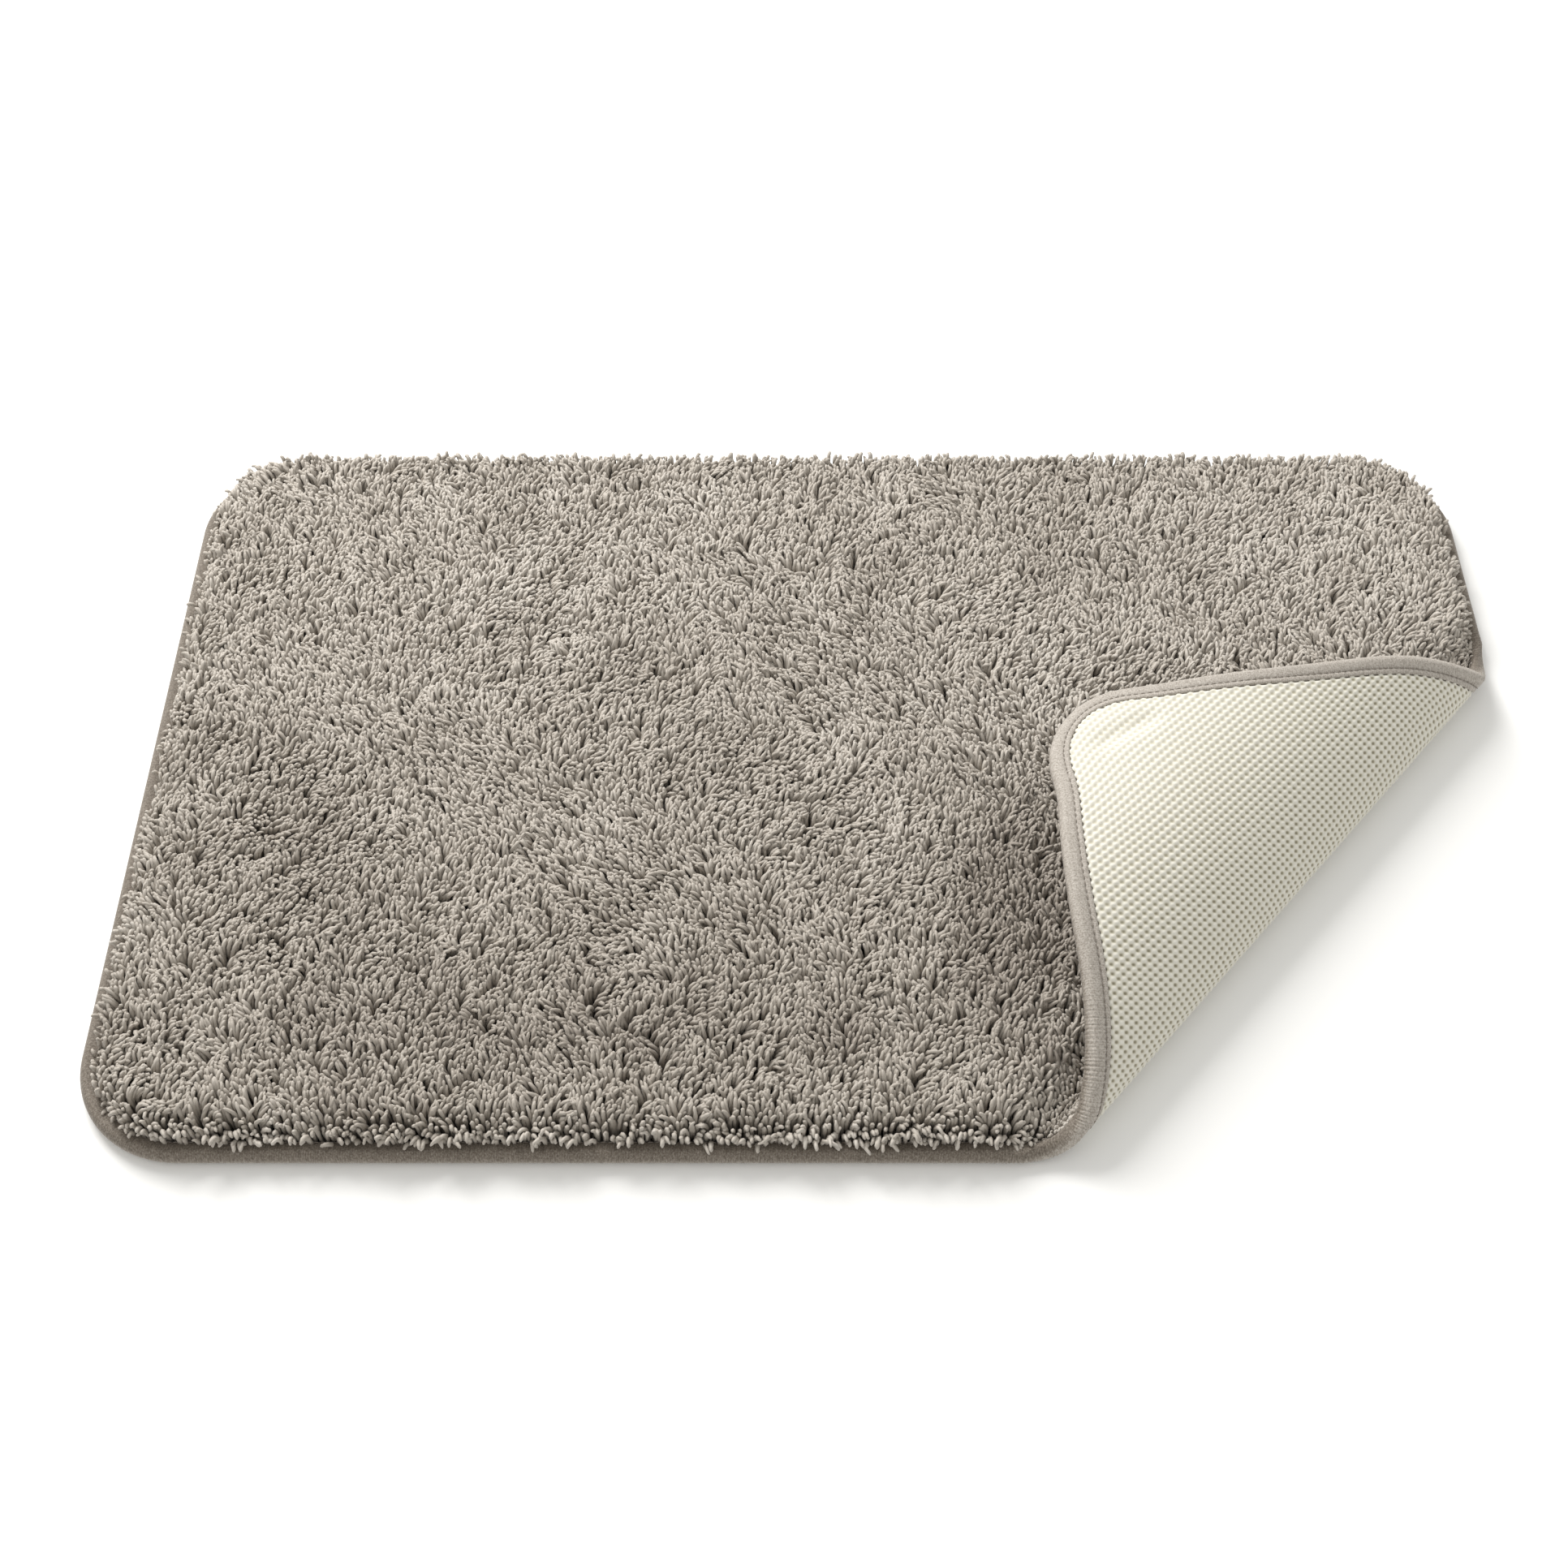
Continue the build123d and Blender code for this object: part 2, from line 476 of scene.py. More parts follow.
# ---- materials --------------------------------------------------------------
class Nodes:
    """A material's node tree with short ways to add and link nodes."""

    def __init__(self, name):
        self.material = bpy.data.materials.new(name)
        self.material.use_nodes = True
        self.tree = self.material.node_tree
        self.shader = self.tree.nodes["Principled BSDF"]

    def add(self, kind, **settings):
        node = self.tree.nodes.new("ShaderNode" + kind)
        for key, value in settings.items():
            setattr(node, key, value)
        return node

    def link(self, source, target):
        self.tree.links.new(source, target)

    def attribute(self, name):
        return self.add("Attribute", attribute_name=name).outputs["Fac"]

    def noise(self, scale, detail=2.0, roughness=0.5, upright=1.0):
        """Noise in the object's own space; upright below 1 draws it out along Z."""
        mapping = self.add("Mapping")
        mapping.inputs["Scale"].default_value = (1.0, 1.0, upright)
        self.link(self.add("TexCoord").outputs["Object"], mapping.inputs["Vector"])
        node = self.add("TexNoise")
        node.inputs["Scale"].default_value = scale
        node.inputs["Detail"].default_value = detail
        node.inputs["Roughness"].default_value = roughness
        self.link(mapping.outputs["Vector"], node.inputs["Vector"])
        return node.outputs["Fac"]

    def math(self, operation, a, b):
        node = self.add("Math", operation=operation)
        for socket, value in zip(node.inputs, (a, b)):
            if isinstance(value, (int, float)):
                socket.default_value = value
            else:
                self.link(value, socket)
        return node.outputs["Value"]

    def ramp(self, factor, stops):
        node = self.add("ValToRGB")
        elements = node.color_ramp.elements
        while len(elements) < len(stops):
            elements.new(0.5)
        for element, (place, colour) in zip(elements, stops):
            element.position = place
            element.color = (*colour, 1.0)
        self.link(factor, node.inputs["Fac"])
        return node.outputs["Color"]

    def colour(self, output):
        self.link(output, self.shader.inputs["Base Color"])

    def bump(self, height, distance, strength=1.0):
        node = self.add("Bump")
        node.inputs["Distance"].default_value = distance
        node.inputs["Strength"].default_value = strength
        self.link(height, node.inputs["Height"])
        self.link(node.outputs["Normal"], self.shader.inputs["Normal"])

    def settings(self, **values):
        for key, value in values.items():
            self.shader.inputs[key.replace("_", " ")].default_value = value


def yarn_material():
    """Brushed polyester yarn with a little tone of its own in each strand, and painted shade:
    darker towards the root, where the yarns shade each other.
    """
    nodes = Nodes("pile_yarn")
    # painted shade: the yarn's colour darkens towards its root
    height = nodes.math("MULTIPLY", nodes.attribute("rise"), 0.52)
    own_tone = nodes.math("MULTIPLY", nodes.attribute("tone"), 0.48)
    stops = [
        (0.0, (0.295, 0.258, 0.22)),
        (0.40, (0.408, 0.368, 0.32)),
        (0.75, (0.48, 0.438, 0.387)),
        (1.0, (0.54, 0.50, 0.449)),
    ]
    nodes.colour(nodes.ramp(nodes.math("ADD", height, own_tone), stops))
    fibres = nodes.noise(scale=1600.0, roughness=0.6)
    nodes.bump(fibres, distance=0.00025, strength=0.35)
    nodes.settings(
        Roughness=0.62, Sheen_Weight=0.18, Sheen_Roughness=0.45, Sheen_Tint=(0.95, 0.92, 0.88, 1.0)
    )
    return nodes.material


def backing_material():
    """Rubbery white knit: cream knots, darker in the holes between them; the holes hold painted
    shade near the curl and painted light away from it.
    """
    nodes = Nodes("anti_slip_mesh")
    stops = [
        (0.0, (0.25, 0.225, 0.158)),
        (0.24, (0.47, 0.44, 0.34)),
        (0.48, (0.67, 0.645, 0.562)),
        (1.0, (0.715, 0.695, 0.628)),
    ]
    nodes.colour(nodes.ramp(nodes.attribute("knot"), stops))
    skin = nodes.noise(scale=2500.0, roughness=0.6)
    nodes.bump(skin, distance=0.00008, strength=0.5)
    nodes.settings(Roughness=0.55, Sheen_Weight=0.05)
    return nodes.material


def cloth_material():
    """Coarse woven cloth, a dark greyish brown."""
    nodes = Nodes("base_cloth")
    weave = nodes.noise(scale=900.0, detail=3.0, roughness=0.6)
    nodes.colour(nodes.ramp(weave, [(0.3, (0.10, 0.088, 0.074)), (0.7, (0.16, 0.142, 0.12))]))
    nodes.settings(Roughness=0.9)
    return nodes.material


def binding_material():
    """Velour tape with short brushed fibre across the roll. Painted light: paler where the tape
    turns under, darker on its upper, outer side.
    """
    nodes = Nodes("binding_tape")
    fibre = nodes.noise(scale=1100.0, detail=3.0, roughness=0.7, upright=0.3)
    # painted shade: the troughs of the ribs and gathers are painted darker, their crests lighter
    ribs = nodes.math("MULTIPLY", nodes.attribute("rib"), 0.15)
    fleck = nodes.math("MULTIPLY", fibre, 0.9)
    grain = nodes.math("SUBTRACT", nodes.math("ADD", ribs, fleck), 0.1)
    # painted light: the tape's underside is painted paler than its upper side
    painted_light = nodes.math("MULTIPLY", nodes.attribute("under"), 0.3)
    stops = [
        (0.26, (0.085, 0.068, 0.052)),
        (0.43, (0.165, 0.138, 0.11)),
        (0.60, (0.27, 0.238, 0.203)),
        (0.73, (0.39, 0.355, 0.315)),
        (0.95, (0.56, 0.52, 0.47)),
    ]
    nodes.colour(nodes.ramp(nodes.math("ADD", grain, painted_light), stops))
    nodes.bump(fibre, distance=0.00025, strength=0.6)
    nodes.settings(
        Roughness=0.75, Sheen_Weight=0.25, Sheen_Roughness=0.4, Sheen_Tint=(0.93, 0.9, 0.87, 1.0)
    )
    return nodes.material


def thread_material():
    """Twisted polyester thread, a shade darker than the yarn."""
    nodes = Nodes("sewing_thread")
    twist = nodes.noise(scale=2200.0, detail=1.0)
    nodes.colour(nodes.ramp(twist, [(0.3, (0.18, 0.154, 0.13)), (0.7, (0.27, 0.235, 0.2))]))
    nodes.settings(Roughness=0.6)
    return nodes.material


def floor_material():
    """A matt white sweep."""
    nodes = Nodes("studio_floor")
    cloud = nodes.noise(scale=3.0)
    nodes.colour(nodes.ramp(cloud, [(0.0, (0.91, 0.91, 0.905)), (1.0, (0.93, 0.93, 0.925))]))
    nodes.settings(Roughness=0.9)
    return nodes.material


# ---- grids on the flat mat --------------------------------------------------
def grid_quads(columns, rows):
    """The quads of a grid whose points are numbered column by column."""
    corner = (np.arange(columns - 1)[:, None] * rows + np.arange(rows - 1)[None, :]).ravel()
    return np.column_stack([corner, corner + rows, corner + rows + 1, corner + 1])


def trimmed(x, y, quads, edge):
    """Cuts a grid to an inset from the mat's edge. Points outside it slide back onto it."""
    inset, out_x, out_y = inset_of(x, y)
    quads = quads[(inset[quads] >= edge).any(axis=1)]
    slide = np.minimum(inset - edge, 0)
    used, index = np.unique(quads, return_inverse=True)
    x, y = x + slide * out_x, y + slide * out_y
    return x[used], y[used], index.reshape(quads.shape)


# ---- the anti-slip mesh -----------------------------------------------------
def knot_grid(divisions, wanted):
    """A grid aligned with the knots, in the cells whose middles wanted() accepts.

    A cell is half a knot pitch each way, cut into so many divisions."""
    columns = int(half_length / knot_half_pitch[0]) + 1
    rows = int(half_width / knot_half_pitch[1]) + 1
    nx, ny = 2 * columns * divisions + 1, 2 * rows * divisions + 1
    x = (np.arange(nx) / divisions - columns) * knot_half_pitch[0]
    y = (np.arange(ny) / divisions - rows) * knot_half_pitch[1]
    gx, gy = np.meshgrid(x, y, indexing="ij")
    quads = grid_quads(nx, ny)
    cell_x = (quads[:, 0] // ny) // divisions
    cell_y = (quads[:, 0] % ny) // divisions
    middle_x = (cell_x + 0.5 - columns) * knot_half_pitch[0]
    middle_y = (cell_y + 0.5 - rows) * knot_half_pitch[1]
    return trimmed(gx.ravel(), gy.ravel(), quads[wanted(middle_x, middle_y)], mesh_inset)


def make_backing(material):
    """Knots that touch the floor, strands between them and holes, on a finer grid where the
    mesh shows. Its edge steps up over the binding's lip."""

    def shown(x, y):
        return fold_distance(x, y)[0] > fine_mesh_from

    def hidden(x, y):
        return ~shown(x, y)

    coarse_x, coarse_y, coarse_quads = knot_grid(coarse_divisions, hidden)
    fine_x, fine_y, fine_quads = knot_grid(fine_divisions, shown)
    x = np.concatenate([coarse_x, fine_x])
    y = np.concatenate([coarse_y, fine_y])
    quads = np.vstack([coarse_quads, fine_quads + len(coarse_x)])

    pattern = np.cos(pi * x / knot_half_pitch[0]) * np.cos(pi * y / knot_half_pitch[1])
    knot = np.maximum(pattern, 0) ** knot_fullness
    hole = np.maximum(-pattern, 0) ** hole_sharpness
    strand_depth = hole_depth * strand_share
    height = strand_depth - strand_depth * knot + (hole_depth - strand_depth) * hole
    inset, _, _ = inset_of(x, y)
    height += mesh_step * (1 - smoothstep(*mesh_step_zone, inset))
    flat = np.column_stack([x, y, height])

    # Painted light and shade: the holes are painted darker nearer the curl and lighter away from
    # it.
    s, _ = fold_distance(x, y)
    lit_share = smoothstep(*hole_shade_zone, s)
    painted_hole_light = shaded_hole_tone + (lit_hole_tone - shaded_hole_tone) * lit_share
    values = {"knot": 0.5 + 0.5 * pattern + painted_hole_light * hole}
    facing_down = quads[:, ::-1]
    return make_layer("backing", flat, facing_down, values, material, patches=3)


# ---- the cloth --------------------------------------------------------------
def cloth_grid():
    """A grid that runs with the fold, cut to the cloth's outline."""
    s = np.arange(-cloth_reach, cloth_beyond, cloth_pitch)
    t = np.arange(-cloth_reach, cloth_reach, cloth_pitch)
    gs, gt = np.meshgrid(s, t, indexing="ij")
    x = (fold_origin[0] + gs * outward[0] + gt * along[0]).ravel()
    y = (fold_origin[1] + gs * outward[1] + gt * along[1]).ravel()
    return trimmed(x, y, grid_quads(len(s), len(t)), cloth_inset)


def rim_quads(quads, count):
    """Faces that close the edge between a sheet's lower side and its upper side."""
    edges = np.vstack([quads[:, [i, (i + 1) % 4]] for i in range(4)])
    keys = edges[:, 0] * count + edges[:, 1]
    twins = edges[:, 1] * count + edges[:, 0]
    border = edges[~np.isin(keys, twins)]
    start, end = border[:, 0], border[:, 1]
    return np.column_stack([start, end, end + count, start + count])


def make_cloth(material):
    """A sheet between the mesh and the yarn, closed at the edge of each piece."""
    x, y, quads = cloth_grid()
    inset, _, _ = inset_of(x, y)
    step = cloth_step * (1 - smoothstep(*cloth_step_zone, inset))
    count = len(x)
    lower = np.column_stack([x, y, backing_thickness + step])
    upper = np.column_stack([x, y, base_top + step])
    quad_part = part_of(lower[quads].mean(axis=1))
    faces, part = [], []
    for index in range(fold_count + 1):
        own = quads[quad_part == index]
        closed = np.vstack([own[:, ::-1], own + count, rim_quads(own, count)])
        faces.append(closed)
        part.append(np.full(len(closed), index))
    flat, faces, part = np.vstack([lower, upper]), np.vstack(faces), np.concatenate(part)
    return make_layer("cloth", flat, faces, {}, material, part=part)


# ---- the binding ------------------------------------------------------------
def binding_section():
    """The tape's outline, as inset from the mat's edge and height. It starts under the pile,
    runs out over the roll and ends in a narrow lip under the row of stitches."""
    points = [(10.4, 5.2), (10.2, 7.6), (9.0, 9.0)]
    for angle in np.linspace(pi / 2, 3 * pi / 2, roll_points):
        points.append((roll_half_width * (1 + cos(angle)), roll_half_height * (1 + sin(angle))))
    points += [(6.8, 0.05), (8.3, 0.3), (8.9, 0.95), (9.5, 0.35)]
    points += [(10.5, 0.15), (11.6, 0.2), (12.1, 0.7), (12.2, 1.5)]
    return np.array(points)


def tape_waves(place, run, share):
    """The tape's ribs, and the gathers it has where it goes round the curl, from -1 to 1."""
    phase = run[:, None] + rib_slant * share[None, :]
    ribs = np.cos(2 * pi * phase / rib_pitch)
    s, _ = fold_distance(place[:, 0], place[:, 1])
    gathered = smoothstep(*gather_zone, s) * (1 - smoothstep(*ungather_zone, s))
    wander = gather_wander * np.sin(run / gather_wander_run)
    swell = 1 - gather_swell + gather_swell * np.cos(run / gather_swell_run)
    gathers = np.cos(2 * pi * run / gather_pitch + wander) * swell
    return ribs, (gathered * gathers)[:, None]


def make_binding(material):
    """The tape's section swept round the edge of the mat."""
    place, out, run = outline(tape_step)
    section = binding_section()
    stations, width = len(place), len(section)
    share = np.arange(width) / (width - 1)
    ribs, gathers = tape_waves(place, run, share)
    fading = np.sin(pi * share)[None, :] ** 0.5
    relief = fading * (rib_depth * ribs + gather_depth * gathers)
    away = section - np.array([roll_half_width, roll_half_height])
    away /= np.linalg.norm(away, axis=1)[:, None]
    inset = section[None, :, 0] + relief * away[None, :, 0]
    height = np.maximum(section[None, :, 1] + relief * away[None, :, 1], 0.0)
    x = place[:, None, 0] - out[:, None, 0] * inset
    y = place[:, None, 1] - out[:, None, 1] * inset
    flat = np.column_stack([x.ravel(), y.ravel(), height.ravel()])

    here = np.arange(stations)[:, None] * width + np.arange(width - 1)[None, :]
    there = np.roll(here, -1, axis=0)
    quads = np.column_stack([here.ravel(), here.ravel() + 1, there.ravel() + 1, there.ravel()])
    # painted shade: darker in the troughs of the ribs and gathers, lighter on their crests
    rib = 0.5 + 0.5 * (0.6 * ribs + 0.4 * gathers)
    # painted light: the share of the tape that has turned under, painted paler in the material
    under = np.tile(smoothstep(*underside_light_zone, share), stations)
    across = np.tile(share * tape_width, stations)
    uv_points = np.column_stack([np.repeat(run, width), across])
    values = {"rib": rib.ravel(), "under": under}
    return make_layer("binding", flat, quads, values, material, uv_points)


# ---- the stitches -----------------------------------------------------------
def stitch_faces():
    """One stitch's quads: its side, then two across each of its six-sided ends."""
    ring = (np.arange(stitch_rings - 1) * stitch_sides)[:, None]
    corner = np.arange(stitch_sides)[None, :]
    here = (ring + corner).ravel()
    after = (ring + (corner + 1) % stitch_sides).ravel()
    tube = np.column_stack([here, after, after + stitch_sides, here + stitch_sides])
    last = (stitch_rings - 1) * stitch_sides
    first_end = [[0, 3, 2, 1], [0, 5, 4, 3]]
    last_end = [[last, last + 1, last + 2, last + 3], [last, last + 3, last + 4, last + 5]]
    return np.vstack([tube, first_end, last_end])


def stitch_row(place, out, run, height, bow):
    """The points of a row of short beads of thread, each bowed out in its middle."""
    count = int(run[-1] / stitch_pitch)
    ring_places = np.linspace(-0.5, 0.5, stitch_rings)
    ring_shares = np.sqrt(np.clip(1 - (2 * ring_places) ** 4, 0.06, 1))
    middle = np.arange(count) * stitch_pitch
    at = (middle[:, None] + ring_places[None, :] * stitch_length).ravel()
    x, y = np.interp(at, run, place[:, 0]), np.interp(at, run, place[:, 1])
    out_x, out_y = np.interp(at, run, out[:, 0]), np.interp(at, run, out[:, 1])
    arch = np.tile(1 - (2 * ring_places) ** 2, count)
    size = np.tile(ring_shares, count) * stitch_radius
    angles = 2 * pi * np.arange(stitch_sides) / stitch_sides
    inset = stitch_inset + size[:, None] * np.cos(angles)
    level = height + bow * arch[:, None] + size[:, None] * np.sin(angles)
    px = x[:, None] - out_x[:, None] * inset
    py = y[:, None] - out_y[:, None] * inset
    return np.column_stack([px.ravel(), py.ravel(), level.ravel()])


def make_stitches(material):
    """Two rows of lockstitch, under the mat and on top."""
    place, out, run = outline(tape_step)
    rows = [stitch_row(place, out, run, height, bow) for height, bow in stitch_rows]
    flat = np.vstack(rows)
    per_stitch = stitch_rings * stitch_sides
    starts = np.arange(len(flat) // per_stitch) * per_stitch
    quads = (starts[:, None, None] + stitch_faces()[None, :, :]).reshape(-1, 4)
    return make_layer("stitches", flat, quads, {}, material)


# ---- the pile ---------------------------------------------------------------
def yarn_roots(rng):
    """A hexagonal field of yarn roots with some disorder, inside the binding."""
    row_pitch = yarn_pitch * 3**0.5 / 2
    rows = int(mat_width / row_pitch) + 1
    columns = int(mat_length / yarn_pitch) + 1
    row, column = np.meshgrid(np.arange(rows), np.arange(columns), indexing="ij")
    x = ((column + 0.5 * (row % 2)) * yarn_pitch - half_length).ravel()
    y = (row * row_pitch - half_width).ravel()
    x = x + rng.normal(0, root_disorder * yarn_pitch, len(x))
    y = y + rng.normal(0, root_disorder * yarn_pitch, len(y))
    kept = inset_of(x, y)[0] >= yarn_root_inset
    return x[kept], y[kept]


def clump_centres(rng):
    """The middles of the yarn's clumps, a disordered square grid with a margin of two cells."""
    margin = 2 * clump_pitch
    columns = int(mat_length / clump_pitch) + 4
    rows = int(mat_width / clump_pitch) + 4
    column, row = np.meshgrid(np.arange(columns), np.arange(rows), indexing="ij")
    stray_x = rng.uniform(-clump_disorder, clump_disorder, column.shape)
    stray_y = rng.uniform(-clump_disorder, clump_disorder, column.shape)
    x = (column + 0.5 + stray_x) * clump_pitch - half_length - margin
    y = (row + 0.5 + stray_y) * clump_pitch - half_width - margin
    return x, y


def nearest_clump(x, y, centre_x, centre_y):
    """The number of each yarn's clump."""
    columns, rows = centre_x.shape
    cell_x = ((x + half_length) / clump_pitch + 2).astype(int)
    cell_y = ((y + half_width) / clump_pitch + 2).astype(int)
    best = np.full(len(x), np.inf)
    number = np.zeros(len(x), int)
    for step_x in (-1, 0, 1):
        for step_y in (-1, 0, 1):
            i = np.clip(cell_x + step_x, 0, columns - 1)
            j = np.clip(cell_y + step_y, 0, rows - 1)
            far = (centre_x[i, j] - x) ** 2 + (centre_y[i, j] - y) ** 2
            closer = far < best
            best = np.where(closer, far, best)
            number = np.where(closer, i * rows + j, number)
    return number


def waves(x, y, rng, lengths, count):
    """A smooth random field of about unit size."""
    total = np.zeros_like(x)
    for _ in range(count):
        angle = rng.uniform(0, 2 * pi)
        length = rng.uniform(*lengths)
        phase = rng.uniform(0, 2 * pi)
        total += np.cos(2 * pi * (x * cos(angle) + y * sin(angle)) / length + phase)
    return total / (count / 2) ** 0.5


def tone_patches_and_painted_shade(x, y):
    """Broad lighter and darker patches in the pile's tone. The darkest, beside the curl of the
    turned-back corner and towards the front, are painted shade.
    """
    marks = [  # middle x, middle y, reach x, reach y, change of tone
        (-153, 146, 45, 32, 0.25),
        (-46, 113, 24, 52, -0.30),
        (133, 150, 14, 75, -0.35),
        # painted shade beside the curl of the turned-back corner
        (98, -125, 42, 80, -1.6),
        (200, 60, 60, 60, 0.2),
        (290, 160, 110, 60, 0.25),
        # painted shade: the pile darkens towards the front, where less light falls
        (-230, -180, 170, 75, -1.05),
        (-270, -20, 110, 80, -0.3),
        (30, -180, 110, 70, -0.45),
    ]
    total = np.zeros_like(x)
    for middle_x, middle_y, reach_x, reach_y, change in marks:
        far = ((x - middle_x) / reach_x) ** 2 + ((y - middle_y) / reach_y) ** 2
        total += change * np.exp(-far)
    return total


class Yarns:
    """Where the yarns are rooted on the flat mat, their clumps and their place in the rim."""

    def __init__(self, rng):
        self.rng = rng
        self.x, self.y = yarn_roots(rng)
        self.count = len(self.x)
        centre_x, centre_y = clump_centres(rng)
        self.clumps = centre_x.size
        self.clump = nearest_clump(self.x, self.y, centre_x, centre_y)
        self.clump_x = centre_x.ravel()[self.clump]
        self.clump_y = centre_y.ravel()[self.clump]
        self.inset, self.out_x, self.out_y = inset_of(self.x, self.y)
        self.rim = 1 - smoothstep(yarn_root_inset, rim_inset, self.inset)
        self.front = np.maximum(-self.out_y, 0)
        self.back = np.maximum(self.out_y, 0) ** 0.5
        self.s, _ = fold_distance(self.x, self.y)
        squeezing = smoothstep(*squeeze_zone, self.s)
        self.squeezed = squeezing * (1 - smoothstep(*unsqueeze_zone, self.s))

    def by_clump(self, draw, a, b):
        """A random number for each yarn, the same for its whole clump."""
        return draw(a, b, self.clumps)[self.clump]

    def by_yarn(self, draw, a, b):
        """A random number for each yarn."""
        return draw(a, b, self.count)

    def waves(self, lengths, count):
        """A smooth random field, at each yarn."""
        return waves(self.x, self.y, self.rng, lengths, count)


def brushed_lean(yarns):
    """How far each yarn leans along X and Y: away to the back of the mat, with its clump."""
    rng = yarns.rng
    brush_x = 0.7 * yarns.waves(broad_swirl, swirl_waves)
    brush_x = brush_x + 0.3 * yarns.waves(small_swirl, swirl_waves) + usual_brush[0]
    brush_y = 0.4 * yarns.waves(broad_swirl, swirl_waves)
    brush_y = brush_y + 0.3 * yarns.waves(small_swirl, swirl_waves) + usual_brush[1]
    heading = np.arctan2(brush_y, brush_x)
    heading = heading + yarns.by_clump(rng.normal, 0, 0.5) + yarns.by_yarn(rng.normal, 0, 0.45)
    size = yarns.by_clump(rng.uniform, 3.8, 7.6) * yarns.by_yarn(rng.uniform, 0.75, 1.2)
    lean_x = size * np.cos(heading) + clump_pinch * (yarns.clump_x - yarns.x)
    lean_y = size * np.sin(heading) + clump_pinch * (yarns.clump_y - yarns.y)
    return lean_x, lean_y


def rim_lean(yarns, lean_x, lean_y):
    """The lean with the rim's change: yarns at the edge hang out over the binding, most at
    the front and little on the turned-back corner, and none goes far past the mat's edge."""
    rng, rim, front, back = yarns.rng, yarns.rim, yarns.front, yarns.back
    overhang = side_overhang + (front_overhang - side_overhang) * front
    overhang = overhang + (back_overhang - side_overhang) * back
    on_corner = smoothstep(10.0, 50.0, yarns.s)
    overhang = overhang * rim * (1 - 0.6 * on_corner) * yarns.by_clump(rng.uniform, 0.6, 1.3)
    lean_x = lean_x * (1 - 0.6 * rim) + overhang * yarns.out_x
    lean_y = lean_y * (1 - (0.6 + 0.2 * back) * rim) + overhang * yarns.out_y
    lean_x = lean_x + rim_frizz[0] * rim * yarns.by_yarn(rng.normal, 0, 1)
    lean_y = lean_y + rim_frizz[1] * rim * yarns.by_yarn(rng.normal, 0, 1)
    reach = lean_x * yarns.out_x + lean_y * yarns.out_y
    furthest = yarns.inset - edge_margin + front_past * front + back_past * back
    past = np.maximum(reach - furthest, 0)
    lean_x, lean_y = lean_x - past * yarns.out_x, lean_y - past * yarns.out_y
    squeeze = 1 - squeezed_lean * yarns.squeezed
    return lean_x * squeeze, lean_y * squeeze


def yarn_heights(yarns):
    """How high each yarn's tip stands: lower round the rim, and squeezed inside the curl."""
    rng, rim, back = yarns.rng, yarns.rim, yarns.back
    height = yarn_length + yarns.by_clump(rng.normal, 0, 0.6) + yarns.by_yarn(rng.normal, 0, 0.65)
    drop = yarns.by_clump(rng.uniform, 1.5, 7.5) + yarns.by_yarn(rng.uniform, 0.0, 4.0)
    drop = drop * (1 - 0.85 * back) + side_drop * np.abs(yarns.out_x) - 0.8 * back
    return (height - rim**1.5 * drop) * (1 - squeezed_height * yarns.squeezed)


def yarn_tones(yarns):
    """How light each yarn is, painted shade from the marks included. 0.5 is the usual tone."""
    rng = yarns.rng
    tone = 0.5 + yarns.by_yarn(rng.normal, 0, 0.13) + yarns.by_clump(rng.normal, 0, 0.10)
    tone += 0.16 * yarns.waves((120, 400), 7) + 0.15 * yarns.waves((40, 110), 9)
    # painted shade in the marks beside the curl and towards the front
    tone += tone_patches_and_painted_shade(yarns.x, yarns.y) + 0.4 * yarns.rim * yarns.front
    return np.clip(tone, -0.9, 1)


def yarn_points(yarns, lean_x, lean_y, height):
    """Every yarn's rings and tip on the flat mat: yarn by yarn, the points and how far up the
    yarn each of them is."""
    rng, count = yarns.rng, yarns.count
    droop = yarns.by_yarn(rng.uniform, 0.26, 0.38) + 0.14 * yarns.rim
    radius = yarn_radius * yarns.by_yarn(rng.uniform, 0.85, 1.15)
    spin = yarns.by_yarn(rng.uniform, 0, 2 * pi)
    size = np.hypot(lean_x, lean_y) + 1e-6
    side = np.column_stack([-lean_y / size, lean_x / size, np.zeros(count)])
    bow = yarns.by_yarn(rng.normal, 0, 0.9)
    splay = 0.12 + 0.28 * yarns.rim

    def centre(rise):
        """The yarn's axis: it stands at first, then curls over along its lean."""
        bent = max((rise - bend_from) / (1 - bend_from), 0) ** 1.6
        forward = splay * rise + (1 - splay) * bent
        up = (rise - droop * rise**3) / (1 - droop)
        sway = bow * np.sin(pi * rise)
        x, y = yarns.x + lean_x * forward, yarns.y + lean_y * forward
        return np.column_stack([x, y, base_top + height * up]) + side * sway[:, None]

    points = np.empty((count, len(ring_rises) * yarn_sides + 1, 3))
    for ring, (rise, share) in enumerate(zip(ring_rises, ring_sizes)):
        here = centre(rise)
        heading = centre(rise + 0.04) - centre(rise - 0.04 if rise > 0.04 else rise)
        heading /= np.linalg.norm(heading, axis=1)[:, None]
        up = np.cross(heading, side)
        for corner in range(yarn_sides):
            turn = spin + 2 * pi * corner / yarn_sides + 0.5 * ring
            ray = np.cos(turn)[:, None] * side + np.sin(turn)[:, None] * up
            points[:, ring * yarn_sides + corner] = here + ray * (radius * share)[:, None]
    points[:, -1] = centre(1.0)
    rises = np.append(np.repeat(ring_rises, yarn_sides), 1.0)
    return points, np.broadcast_to(rises, points.shape[:2])


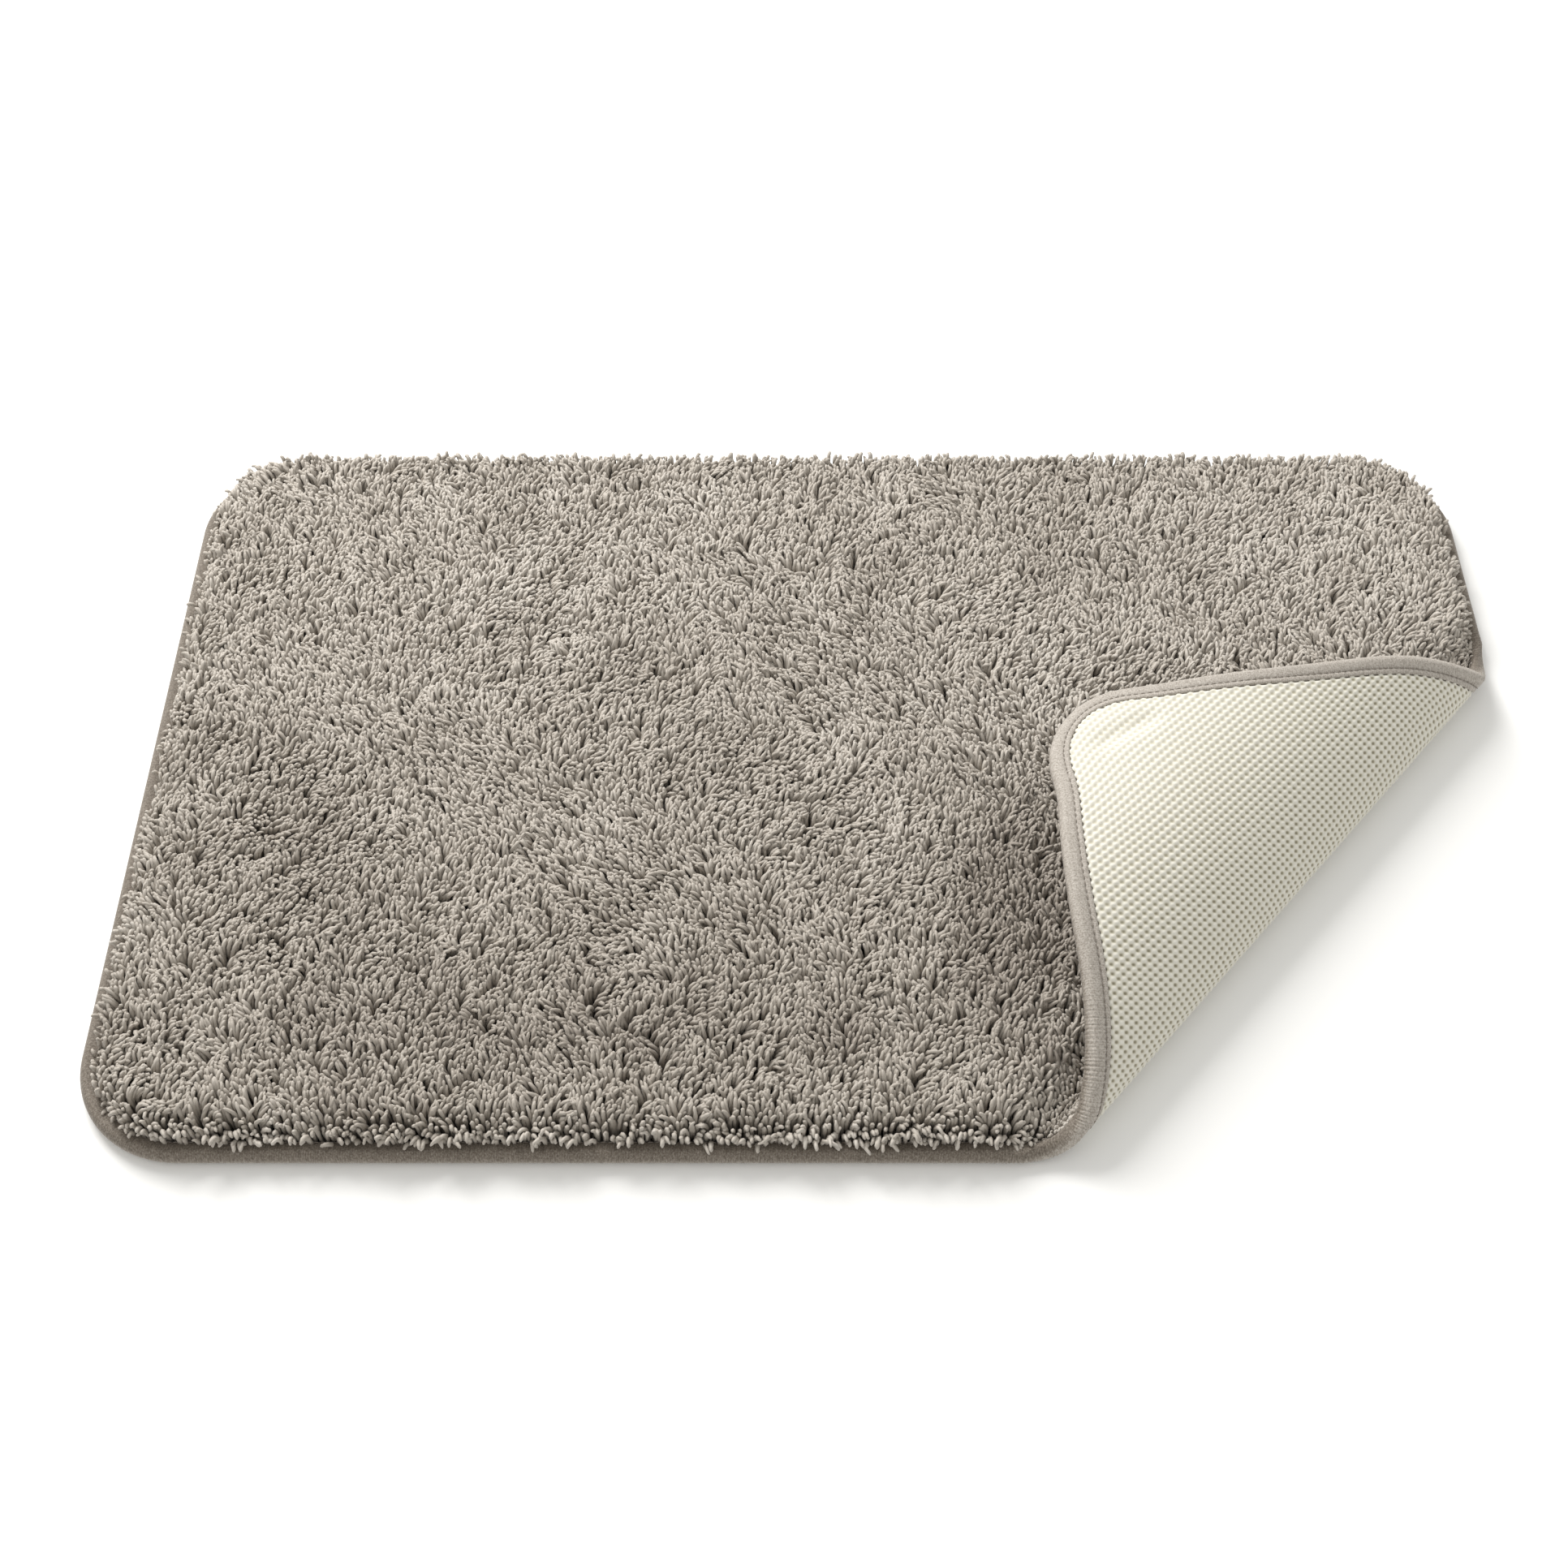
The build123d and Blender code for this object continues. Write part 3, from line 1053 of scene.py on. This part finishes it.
def yarn_faces():
    """One yarn's quads and its tip triangles."""
    quads, tips = [], []
    last = (len(ring_rises) - 1) * yarn_sides
    for corner in range(yarn_sides):
        after = (corner + 1) % yarn_sides
        for low in range(0, last, yarn_sides):
            high = low + yarn_sides
            quads.append([low + corner, low + after, high + after, high + corner])
        tips.append([last + corner, last + after, last + yarn_sides])
    return np.array(quads), np.array(tips)


def yarn_uvs(rise):
    """A square cell of the UV map for each yarn, unrolled."""
    count = len(rise)
    cells = int(np.ceil(count**0.5))
    cell_x = (np.arange(count) % cells)[:, None]
    cell_y = (np.arange(count) // cells)[:, None]
    round_share = np.tile(np.arange(yarn_sides) / (yarn_sides - 1), len(ring_rises))
    round_share = np.append(round_share, 0.5)
    u = (cell_x + 0.1 + 0.8 * round_share[None, :]) / cells
    v = (cell_y + 0.1 + 0.8 * rise) / cells
    return np.column_stack([u.ravel(), v.ravel()])


def yarn_piece(name, points, rise, tone, material):
    """A patch of pile as one mesh."""
    quads, tips = yarn_faces()
    count, per_yarn = points.shape[:2]
    starts = (np.arange(count) * per_yarn)[:, None, None]
    all_quads = (starts + quads[None]).reshape(-1, 4)
    all_tips = (starts + tips[None]).reshape(-1, 3)
    values = {"rise": rise.ravel(), "tone": np.repeat(tone, per_yarn)}
    rest = turned_back(points.reshape(-1, 3))
    piece = new_piece(name, rest, all_quads, all_tips, material, values, yarn_uvs(rise))
    return piece


def make_pile(material):
    """All the yarn: patches on the flat mat, and one piece for each part of the corner."""
    yarns = Yarns(np.random.default_rng(11))
    lean_x, lean_y = rim_lean(yarns, *brushed_lean(yarns))
    height = yarn_heights(yarns)
    tone = yarn_tones(yarns)
    points, rise = yarn_points(yarns, lean_x, lean_y, height)
    part = part_of(np.column_stack([yarns.x, yarns.y]))
    column = patch_number(yarns.x, mat_length, pile_patches[0])
    row = patch_number(yarns.y, mat_width, pile_patches[1])

    masks = [{} for _ in body_names]
    for i in range(pile_patches[0]):
        for j in range(pile_patches[1]):
            masks[0][f"pile_mat_{i + 1}_{j + 1}"] = (part == 0) & (column == i) & (row == j)
    for index in range(1, fold_count + 1):
        masks[index][f"pile_{body_names[index]}"] = part == index
    return [
        [
            yarn_piece(name, points[mask], rise[mask], tone[mask], material)
            for name, mask in group.items()
            if mask.any()
        ]
        for group in masks
    ]


# ---- camera, light and floor ------------------------------------------------
def place_object(name, data):
    """Adds an object with this data to the scene."""
    thing = bpy.data.objects.new(name, data)
    bpy.context.scene.collection.objects.link(thing)
    return thing


def make_camera():
    camera = bpy.data.cameras.new("camera")
    camera.sensor_width = 36.0
    camera.lens = lens
    camera.clip_start, camera.clip_end = 0.05, 50.0
    eye = place_object("camera", camera)
    eye.location = eye_place
    eye.rotation_euler = (radians(90 - eye_pitch), 0, 0)
    bpy.context.scene.camera = eye


def make_floor():
    r = floor_reach
    mesh = bpy.data.meshes.new("studio_floor")
    corners = [(-r, -r, 0), (r, -r, 0), (r, r, 0), (-r, r, 0)]
    mesh.from_pydata(corners, [], [(0, 1, 2, 3)])
    mesh.materials.append(floor_material())
    floor = place_object("studio_floor", mesh)
    floor.location.z = -floor_drop


def make_key_light():
    """A square softbox behind the mat, aimed at its middle."""
    light = bpy.data.lights.new("key", "AREA")
    light.shape = "SQUARE"
    light.size = key_width
    light.energy = key_power
    light.color = key_colour
    lamp = place_object("key", light)
    lamp.location = key_place
    lamp.rotation_euler = (-Vector(key_place)).to_track_quat("-Z", "Y").to_euler()


def make_sky():
    """A plain bright surround that fills the shadows."""
    world = bpy.data.worlds.new("studio")
    world.use_nodes = True
    background = world.node_tree.nodes["Background"]
    background.inputs["Color"].default_value = sky_colour
    background.inputs["Strength"].default_value = sky_strength
    bpy.context.scene.world = world
    bpy.context.scene.view_settings.view_transform = "Standard"


# ---- putting it together ----------------------------------------------------
make_camera()
make_floor()
make_key_light()
make_sky()
backing = make_backing(backing_material())
cloth = make_cloth(cloth_material())
binding = make_binding(binding_material())
stitches = make_stitches(thread_material())
pile = make_pile(yarn_material())
layers = {
    "backing_mesh": backing,
    "base_cloth": cloth,
    "edge_binding": binding,
    "binding_stitch": stitches,
    "pile": pile,
}
for index in range(fold_count + 1):
    for node, pieces in layers.items():
        for piece in pieces[index]:
            attach(piece, index, node)
